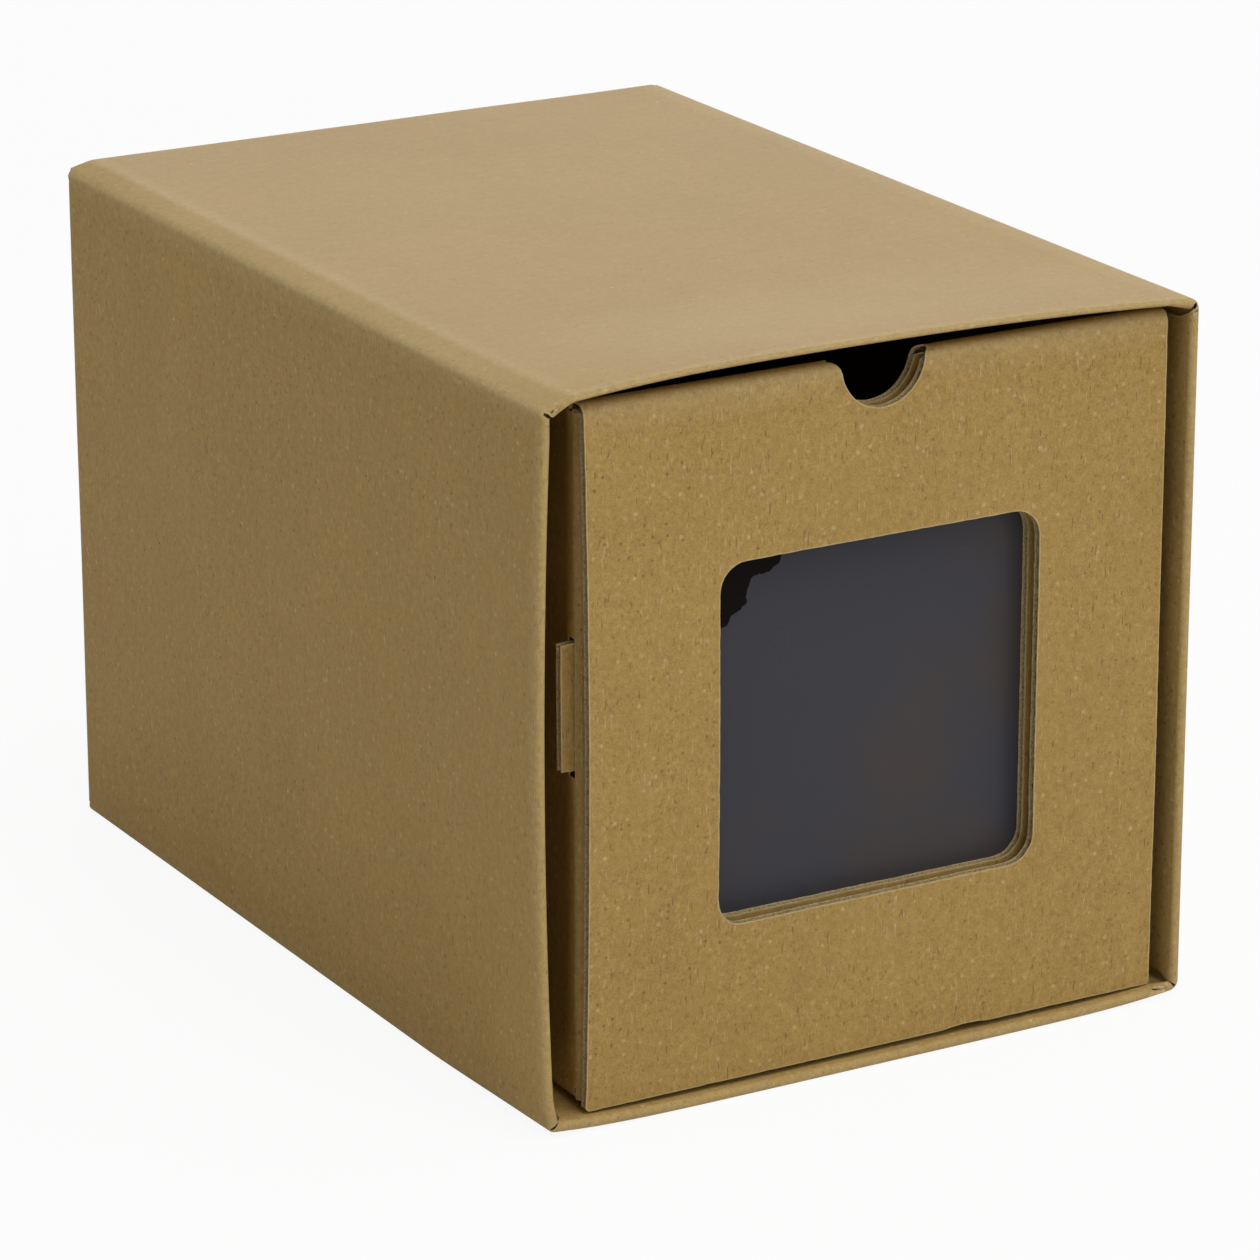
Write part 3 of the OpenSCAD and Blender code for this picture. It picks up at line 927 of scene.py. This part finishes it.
    def outline(self):
        """The die line of the blank: four hems at the front, three flaps at the back."""
        st, r = self.ring.stops, self.r
        start, nose_end = self.start, self.start + 2 * self.turn
        side = self.t + 0.15 + r
        dust = side - self.fold - (self.flap - r)
        long = r - self.fold - (self.high - 3.4 - r)
        shoulder = side - self.fold - 1
        lower = ((0.4, 5.6), (2.0, shoulder), (5.0, dust + 6), (9.0, dust))
        upper = ((12.0, dust), (8.0, dust + 6), (4.0, shoulder))
        line = [(0, 0.25), (st[1], 0.25), (st[1] + 1.2, 3.6)]
        line += [(st[2] + off, at) for off, at in lower]
        line += [(st[3] - off, at) for off, at in upper]
        line += [(st[3] - 1.0, 5.2), (st[4] + 0.3, r + 0.5)]
        line += [(st[4] + 0.7, r - self.fold - 0.5), (st[4] + 0.9, long + 3), (st[4] + 3.9, long)]
        line += [(st[7] - 4.0, long), (st[7] - 1.0, long + 3), (st[7] - 0.8, r - self.fold - 0.5)]
        line += [(st[7] - 0.3, r + 0.5), (st[8] + 0.6, 5.2)]
        line += [(st[8] + off, at) for off, at in reversed(upper)]
        line += [(st[9] - off, at) for off, at in reversed(lower)]
        line += [(st[10] - 1.2, 3.6), (st[10], 0.25), (st[11], 0.25)]
        # The rim runs on round the corners but for a narrow slit in each. The hems
        # behind it taper, so that they don't meet once they are folded in.
        front = start + self.turn
        middles = {k: (st[k] + st[k + 1]) / 2 for k in (1, 3, 7, 9)}
        line += [(st[11], nose_end), (middles[9] + 1.2, nose_end - 0.2)]
        line += [(middles[9] + 0.7, front), (middles[9] + 0.3, start + 0.8)]
        hem_end = ((3.2, nose_end + 5), (4.2, self.end - 3), (7.2, self.end))
        hems = (
            (9, 8, 7, (0.3, 0.7, 1.2), (0.3, 1.5, 3.6)),
            (7, 4, 3, (0.2, 0.9, 2.2), (0.3, 1.4, 3.6)),
            (3, 2, 1, (0.2, 0.7, 1.5), (0.3, 0.9, 1.6)),
        )
        for upper, lower, below, first, last in hems:
            high, low = middles[upper], middles[below]
            line += [(high - first[0], start + 0.8), (high - first[1], front), (high - first[2], nose_end)]
            line += [(st[upper] - off, at) for off, at in hem_end]
            line += [(st[lower] + off, at) for off, at in reversed(hem_end)]
            line += [(low + last[2], nose_end), (low + last[1], front), (low + last[0], start + 0.8)]
        high = middles[1]
        line += [(high - 0.3, start + 0.8), (high - 0.8, front), (high - 1.5, nose_end)]
        line += [(st[1] - off, at) for off, at in hem_end]
        line += [(9.5, self.end), (6.5, self.end - 3), (4.0, nose_end + 1.2), (0.0, nose_end)]
        return line


class BOX_OT_sleeve(bpy.types.Operator):
    """Fold the sleeve from its blank"""

    bl_idname = "storage_box.sleeve"
    bl_label = "Sleeve"

    def execute(self, context):
        box = context.scene.storage_box
        liner, cut, core = board_finishes(box)
        folds = SleeveFolds(box)
        blank = Blank(box.board)
        ring = folds.ring
        lines_u = list(ring.lines(7.0, 6))
        lines_u += list(np.linspace(ring.stops[2], ring.stops[6] + 4, 30))
        lines_u = np.unique(np.round(lines_u, 3))
        back, nose_end = folds.r - folds.fold, folds.start + 2 * folds.turn
        lines_s = list(np.linspace(back - 190, back, 16))
        lines_s += list(np.linspace(back, folds.r + folds.t, 9))
        lines_s += list(np.linspace(8, folds.start - 12, 46))
        lines_s += list(np.linspace(folds.start - 10, folds.start, 5))
        lines_s += list(np.linspace(folds.start, nose_end, 13))
        lines_s += list(np.linspace(nose_end, folds.end, 6))
        lines_u, lines_s = thinned(lines_u, 0.35), thinned(lines_s, 0.3)
        total = ring.length

        def seam(loop):
            return (loop[:, 0] < 1e-6) | (loop[:, 0] > total - 1e-6)

        blank.sheet(
            [folds.outline()], lines_u, lines_s,
            folds.place, folds.wear, lambda u, s: s, folds.tooth, seam,
        )
        blank.shaped(folds.settle)
        piece = blank.piece("sleeve_board", (liner, cut, core))
        flutes = fluting_piece("sleeve_fluting", blank, box, core)
        for part in (piece, flutes):
            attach(part, "sleeve")
        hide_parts("sleeve")
        return {"FINISHED"}


def rounded_window(cx, cy, w, h, r):
    """A window's outline, clockwise, so that the board is on its left."""
    points = []
    for sx, sy, a in ((1, 1, 0), (-1, 1, 90), (-1, -1, 180), (1, -1, 270)):
        points += arc(cx + sx * (w / 2 - r), cy + sy * (h / 2 - r), r, a, a + 90, 8)
    return points[::-1]


class DrawerFolds:
    """The drawer's two sheets. One runs from a corner flap along a side wall, the
    back and the other side to the other corner flap. The other comes down as the
    front panel, and goes over the top, down as the inner ply and back as the floor."""

    def __init__(self, box):
        size, board = box.drawer, box.board
        self.t, self.r = board.thickness / MM, board.fold / MM
        self.slack = 0.25
        low, high = DRAWER_BOX
        self.ear = size.ear_out / MM
        self.x0, self.x1 = low.x / MM + self.ear, high.x / MM - self.ear
        self.y0, self.y1 = low.y / MM, high.y / MM
        self.panel_z0 = low.z / MM
        self.z0, self.z1 = low.z / MM + size.panel_drop / MM, high.z / MM
        self.front = size.front / MM
        self.wall = self.z1 - self.z0 - size.wall_step / MM
        self.flap_y = self.y0 + self.t + self.slack
        self.flap = size.corner_flap / MM
        self.mid = (self.x0 + self.x1) / 2
        self.window = (size.window_w / MM, size.window_h / MM, size.window_r / MM)
        self.window_z = (FILM_BOX[0].z + FILM_BOX[1].z) / 2 / MM
        self.notch = (size.notch_r / MM, size.notch_depth / MM, size.lip_r / MM)
        self.ear_h = size.ear_h / MM
        self.ear_z = (self.z0 + self.z1) / 2 + size.ear_up / MM
        self.bulge, self.inset = size.bulge / MM, size.inset / MM
        x0, x1 = self.x0, self.x1
        front, rear, flap = self.flap_y, self.y1, self.flap
        corners = [(x0 + flap, front), (x0, front), (x0, rear)]
        corners += [(x1, rear), (x1, front), (x1 - flap, front)]
        self.walls = CreasedPath(corners, [self.r] * 4)
        inner = self.y0 + self.front
        self.inner = inner
        floor = self.z0 + self.t
        corners = [(self.y0, self.panel_z0), (self.y0, self.z1), (inner, self.z1)]
        corners += [(inner, floor), (self.y1 - self.r + 0.3, floor)]
        self.strip = CreasedPath(corners, [self.r, self.r, 0.7])

    # The walls

    def place_walls(self, u, s, depth):
        stops = self.walls.stops
        plain = (u < stops[2]) | (u > stops[7])
        bent = ~plain & (s < self.r)
        angle = np.clip((self.r - s) / self.r, 0, math.pi / 2)
        r = self.r - depth
        a = np.where(bent, self.r - r * np.cos(angle), depth)
        z = np.where(bent, self.r - r * np.sin(angle), s) + self.z0
        spots = self.walls.at(u, a)
        return np.stack([spots[:, 0], spots[:, 1], z], 1)

    def wall_wear(self, u, s):
        worn = np.zeros(len(u))
        for k in (1, 3, 5, 7):
            middle = (self.walls.stops[k] + self.walls.stops[k + 1]) / 2
            worn = np.maximum(worn, 0.3 * np.exp(-(((u - middle) / 3.0) ** 2)))
        return np.maximum(worn, 0.25 * np.exp(-(((s - 0.7) / 2.5) ** 2)))

    def wall_loops(self):
        st, end = self.walls.stops, self.walls.length
        bottom = self.r - math.pi / 2 * self.r
        # A slit at each front corner parts the flap from the floor's crease
        slit, deep, foot = 0.4, 4.4, 1.0
        line = [(0.0, 3.0), (2.0, foot), (st[2] - slit, foot), (st[2] - slit, deep)]
        line += [(st[2] + slit, deep), (st[2] + slit, bottom)]
        line += [(st[7] - slit, bottom), (st[7] - slit, deep), (st[7] + slit, deep)]
        line += [(st[7] + slit, foot), (end - 2, foot), (end, 3.0)]
        top, low = self.wall, self.wall - 0.8
        line += [(end, top - 3), (end - 2, low), (st[8] + 1, low), (st[8], top)]
        line += [(st[1], top), (st[1] - 1, low), (2.0, low), (0.0, top - 3)]
        loops = [line]
        middle = self.ear_z - self.z0
        low, high = middle - self.ear_h / 2 - 1.9, middle + self.ear_h / 2 + 1.0
        for a, b in ((st[2] - 0.7, st[2] + 2.3), (st[7] - 2.3, st[7] + 0.7)):
            loops.append([(a, low), (a, high), (b, high), (b, low)])
        return loops

    def wall_seam(self, loop):
        return loop[:, 1] < self.r - math.pi / 2 * self.r + 1e-3

    def tooth(self, u, s):
        return np.ones(len(u))

    # The front strip

    def place_strip(self, u, s, depth):
        spots = self.strip.at(s, depth)
        return np.stack([u, spots[:, 0], spots[:, 1]], 1)

    def height(self, z):
        """Length along the strip at a height of the outer ply."""
        z = np.minimum(z, self.z1)
        bend = self.z1 - self.r
        if z <= bend:
            return z - self.panel_z0
        return self.strip.stops[1] + self.r * math.asin(min(1.0, (z - bend) / self.r))

    def over(self, s):
        """The same height on the inner ply."""
        return self.strip.stops[1] + self.strip.stops[4] - s

    def notch_loop(self):
        r, depth, lip = self.notch
        centre = self.z1 - depth + r
        half = []
        for a in np.linspace(0, math.pi / 2, 6):
            half.append((-lip - r + lip * math.sin(a), self.z1 - lip + lip * math.cos(a)))
        tilt = math.asin((centre - (self.z1 - lip)) / r)
        for a in np.linspace(math.pi + tilt, 2 * math.pi - tilt, 25):
            half.append((r * math.cos(a), centre + r * math.sin(a)))
        half += [(-x, z) for x, z in half[5::-1]]
        outer = [(self.mid + x, self.height(z)) for x, z in half]
        inner = [(x, self.over(s)) for x, s in outer[::-1]]
        return (outer + inner)[::-1]

    def strip_loops(self):
        st, end = self.strip.stops, self.strip.length
        x0, x1 = self.x0, self.x1
        gap = self.t + self.slack
        narrow = st[4] - 0.3
        top_in = self.z1 - self.r

        def inner(z):
            return st[4] + top_in - z

        low, high = inner(self.ear_z + self.ear_h / 2), inner(self.ear_z - self.ear_h / 2)
        right, left = x1 - gap, x0 + gap
        # The panel's lower edge has one shallow nick
        nick = ((22, 0.0), (28, 0.55), (34, 0.5), (37, 0.05))
        line = [(x0, 0.9), (x0 + 0.9, 0.0), (x0 + 4, 0.0), (x0 + 40, 0.0)]
        line += [(self.mid + along, up) for along, up in nick] + [(x1 - 0.8, 0.0), (x1, 0.8)]
        line += [(x1, narrow), (right, narrow), (right, low)]
        line += [(x1 + self.ear, low), (x1 + self.ear, high), (right, high)]
        beside = 2.9  # the floor's creases to the side walls lie this far in
        line += [(right, st[5]), (x1 - beside, st[6] + 1), (x1 - beside, end)]
        line += [(x0 + beside, end), (x0 + beside, st[6] + 1), (left, st[5])]
        far = x0 - self.ear - 0.9
        line += [(left, high), (far, high - 0.3), (far - 0.1, low + 0.5)]
        line += [(left, low), (left, narrow), (x0, narrow)]
        w, h, r = self.window
        loops = [line, rounded_window(self.mid, self.height(self.window_z), w, h, r)]
        loops.append(rounded_window(self.mid, inner(self.window_z), w, h, r))
        loops.append(self.notch_loop())
        return loops

    def strip_seam(self, loop):
        return loop[:, 1] > self.strip.stops[6] + 0.9

    def strip_wear(self, u, s):
        worn = np.zeros(len(u))
        for k, strength in ((1, 0.5), (3, 0.4), (5, 0.2)):
            middle = (self.strip.stops[k] + self.strip.stops[k + 1]) / 2
            worn = np.maximum(worn, strength * np.exp(-(((s - middle) / 2.2) ** 2)))
        crease = self.height(self.z1 - 3.6)
        return np.maximum(worn, 0.4 * np.exp(-(((s - crease) / 0.8) ** 2)))

    def settle(self, p):
        """The front panel's left edge stands forward between its corners, and the
        side walls bow inwards behind the front wall."""
        x, y, z = p[:, 0].copy(), p[:, 1].copy(), p[:, 2]
        behind = ease((y - self.inner) / 11) * (1 - ease((y - self.y1 + 75) / 65))
        behind = behind * ease((z - self.z0 - 3) / 14)
        beside = ease((np.abs(x - self.mid) - (self.x1 - self.x0) / 2 + 12) / 6)
        x = x - np.sign(x - self.mid) * self.inset * behind * beside
        front = (y < self.flap_y - 0.1) & (z < self.z1 - 0.5)
        v = np.clip((z - self.z0) / (self.z1 - self.z0), 0, 1)
        across = ease((self.mid - 12 - x) / (self.mid - 12 - self.x0))
        lift = self.bulge * across * np.sin(math.pi * v) ** 0.8
        soft = 0.22 * (1 + waves(x, z, 80, 21)) * np.sin(math.pi * v) * (1 - 0.8 * across)
        y = np.where(front, y - lift - soft, y)
        return np.stack([x, y, z], 1)


class BOX_OT_drawer(bpy.types.Operator):
    """Fold the drawer from its blank"""

    bl_idname = "storage_box.drawer"
    bl_label = "Drawer"

    def execute(self, context):
        box = context.scene.storage_box
        liner, cut, core = board_finishes(box)
        folds = DrawerFolds(box)
        blank = Blank(box.board)
        lines_u = thinned(folds.walls.lines(8.0, 6), 0.35)
        low = folds.r - math.pi / 2 * folds.r
        lines_s = list(np.linspace(low, folds.r, 6)) + list(np.linspace(folds.r, folds.wall, 26))
        blank.sheet(
            folds.wall_loops(), lines_u, thinned(lines_s, 0.3),
            folds.place_walls, folds.wall_wear, lambda u, s: u, folds.tooth, folds.wall_seam,
        )
        st = folds.strip.stops
        lines_u = thinned(np.linspace(folds.x0, folds.x1, 30), 0.35)
        lines_s = list(np.linspace(0, st[1], 30)) + list(folds.strip.lines(7.0, 6))
        lines_s += [st[1] - 1, st[4] + 1]
        blank.sheet(
            folds.strip_loops(), lines_u, thinned(lines_s, 0.3),
            folds.place_strip, folds.strip_wear, lambda u, s: s, folds.tooth, folds.strip_seam,
        )
        blank.shaped(folds.settle)
        piece = blank.piece("drawer_board", (liner, cut, core))
        flutes = fluting_piece("drawer_fluting", blank, box, core)
        for part in (piece, flutes):
            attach(part, "drawer")
        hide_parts("drawer")
        return {"FINISHED"}


class BOX_OT_film(bpy.types.Operator):
    """Lay the clear film behind the window"""

    bl_idname = "storage_box.film"
    bl_label = "Window Film"

    def execute(self, context):
        box = context.scene.storage_box
        low, high = FILM_BOX[0] / MM, FILM_BOX[1] / MM
        n = 40
        xs, zs = np.linspace(low.x, high.x, n + 1), np.linspace(low.z, high.z, n + 1)
        grid = np.array([(x, z) for z in zs for x in xs])
        x, z = grid[:, 0], grid[:, 1]
        inner = ease(np.minimum(np.minimum(x - low.x, high.x - x), np.minimum(z - low.z, high.z - z)) / 20)
        bow = 0.25 * inner * (0.5 + 0.5 * waves(x, z, 60, 5))
        points, faces = [], []
        for y in (low.y + bow, high.y + bow):
            points += [tuple(p * MM) for p in np.stack([x, y, z], 1)]
        m, half = n + 1, (n + 1) ** 2
        for j in range(n):
            for i in range(n):
                a = j * m + i
                faces.append((a, a + 1, a + m + 1, a + m))
                faces.append((half + a, half + a + m, half + a + m + 1, half + a + 1))
        rim = [i for i in range(m)] + [j * m + n for j in range(1, m)]
        rim += [n * m + i for i in range(n - 1, -1, -1)] + [j * m for j in range(n - 1, 0, -1)]
        for a, b in zip(rim, rim[1:] + rim[:1]):
            faces.append((b, a, half + a, half + b))
        mesh = bpy.data.meshes.new("film_sheet")
        mesh.from_pydata(points, [], faces)
        work = bmesh.new()
        work.from_mesh(mesh)
        bmesh.ops.recalc_face_normals(work, faces=work.faces)
        work.to_mesh(mesh)
        work.free()
        mesh.polygons.foreach_set("use_smooth", np.ones(len(mesh.polygons), bool))
        mesh.set_sharp_from_angle(angle=math.radians(40))
        window = box.drawer
        corner = (
            (low.x + high.x) / 2 - window.window_w / MM / 2,
            (low.z + high.z) / 2 + window.window_h / MM / 2,
        )
        mesh.materials.append(film_finish(box.finishes, corner))
        piece = bpy.data.objects.new("film_sheet", mesh)
        context.scene.collection.objects.link(piece)
        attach(piece, "drawer")
        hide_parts("window_film")
        return {"FINISHED"}


# Each lamp's name, place in metres, size in metres and power in watts
LAMPS = (
    ("top_lamp", (0.35, -0.75, 2.0), 1.5, 21.5),
    ("front_lamp", (0.5, -2.0, 1.2), 1.5, 9.5),
    ("back_lamp", (1.3, 2.3, 1.05), 1.6, 16.5),
    ("left_lamp", (-2.2, 0.9, 1.1), 1.5, 4.0),
)
# The camera that was fitted to the photo: place in millimetres, direction in degrees
CAMERA_PLACE = (-788.8, -1388.1, 624.1)
CAMERA_TURN = (-29.85, 18.70, -0.06)
CAMERA_LENS = 36.0 * 5784 / 1260


class BOX_OT_stage(bpy.types.Operator):
    """Set up the floor, the lights and the camera"""

    bl_idname = "storage_box.stage"
    bl_label = "Stage"

    def execute(self, context):
        scene = context.scene
        box = scene.storage_box
        scene.view_settings.view_transform = "Standard"
        self._floor(scene, box)
        self._world(scene)
        for lamp in LAMPS:
            self._lamp(scene, *lamp)
        self._camera(scene)
        return {"FINISHED"}

    def _floor(self, scene, box):
        mesh = bpy.data.meshes.new("floor")
        reach = 12.0
        corners = [(-reach, -reach, 0), (reach, -reach, 0), (reach, reach, 0), (-reach, reach, 0)]
        mesh.from_pydata(corners, [], [(0, 1, 2, 3)])
        floor = bpy.data.objects.new("floor", mesh)
        scene.collection.objects.link(floor)
        f = Finish("pale_floor")
        path = f.node("ShaderNodeLightPath", {}, {})
        seen = Term(f, path.outputs["Is Camera Ray"])
        plain = f.node("ShaderNodeBsdfDiffuse", {}, {"Color": tuple(box.finishes.floor)})
        white = f.node("ShaderNodeEmission", {}, {"Color": (1.0, 1.0, 1.0), "Strength": 1.0})
        mixed = f.node("ShaderNodeMixShader", {}, {0: seen * 0.92, 1: plain.outputs[0], 2: white.outputs[0]})
        mesh.materials.append(f.surface(mixed.outputs[0]))

    def _world(self, scene):
        world = bpy.data.worlds.new("studio")
        scene.world = world
        world.use_nodes = True
        tree = world.node_tree
        tree.nodes.clear()
        path = tree.nodes.new("ShaderNodeLightPath")
        soft = tree.nodes.new("ShaderNodeBackground")
        soft.inputs["Color"].default_value = (1.0, 0.98, 0.94, 1)
        soft.inputs["Strength"].default_value = 0.33
        white = tree.nodes.new("ShaderNodeBackground")
        white.inputs["Color"].default_value = (1, 1, 1, 1)
        mix = tree.nodes.new("ShaderNodeMixShader")
        tree.links.new(path.outputs["Is Camera Ray"], mix.inputs[0])
        tree.links.new(soft.outputs[0], mix.inputs[1])
        tree.links.new(white.outputs[0], mix.inputs[2])
        out = tree.nodes.new("ShaderNodeOutputWorld")
        tree.links.new(mix.outputs[0], out.inputs["Surface"])

    def _lamp(self, scene, name, spot, size, power):
        data = bpy.data.lights.new(name, "AREA")
        data.shape = "SQUARE"
        data.size = size
        data.energy = power
        lamp = bpy.data.objects.new(name, data)
        scene.collection.objects.link(lamp)
        lamp.location = spot
        lamp.rotation_euler = (Vector((0, 0, 0.1)) - Vector(spot)).to_track_quat("-Z", "Y").to_euler()

    def _camera(self, scene):
        data = bpy.data.cameras.new("camera")
        data.sensor_width = 36.0
        data.lens = CAMERA_LENS
        data.clip_end = 50.0
        camera = bpy.data.objects.new("camera", data)
        scene.collection.objects.link(camera)
        azimuth, elevation, roll = (math.radians(v) for v in CAMERA_TURN)
        level = math.cos(elevation)
        ahead = Vector((-math.sin(azimuth) * level, math.cos(azimuth) * level, -math.sin(elevation)))
        turned = ahead.to_track_quat("-Z", "Y").to_matrix() @ Matrix.Rotation(roll, 3, "Z")
        camera.rotation_euler = turned.to_euler()
        camera.location = Vector(CAMERA_PLACE) * MM
        scene.camera = camera


class BOX_PT_storage(bpy.types.Panel):
    """Sidebar panel of the storage box"""

    bl_label = "Storage Box"
    bl_idname = "BOX_PT_storage"
    bl_space_type = "VIEW_3D"
    bl_region_type = "UI"
    bl_category = "Storage Box"

    def draw(self, context):
        box = context.scene.storage_box
        for name in ("sleeve", "drawer", "board", "finishes"):
            column = self.layout.box().column()
            column.label(text=name.capitalize())
            group = getattr(box, name)
            for key in group.__annotations__:
                column.prop(group, key)
        for operator in OPERATORS:
            self.layout.operator(operator.bl_idname)


OPERATORS = (BOX_OT_sleeve, BOX_OT_drawer, BOX_OT_film, BOX_OT_stage)
CLASSES = (SleeveSizes, DrawerSizes, BoardSizes, Finishes, StorageBox, BOX_PT_storage) + OPERATORS


def register():
    for cls in CLASSES:
        bpy.utils.register_class(cls)
    bpy.types.Scene.storage_box = PointerProperty(type=StorageBox)


def unregister():
    del bpy.types.Scene.storage_box
    for cls in reversed(CLASSES):
        bpy.utils.unregister_class(cls)


def main():
    register()
    bpy.ops.storage_box.stage()
    bpy.ops.storage_box.sleeve()
    bpy.ops.storage_box.drawer()
    bpy.ops.storage_box.film()


if __name__ == "__main__":
    main()
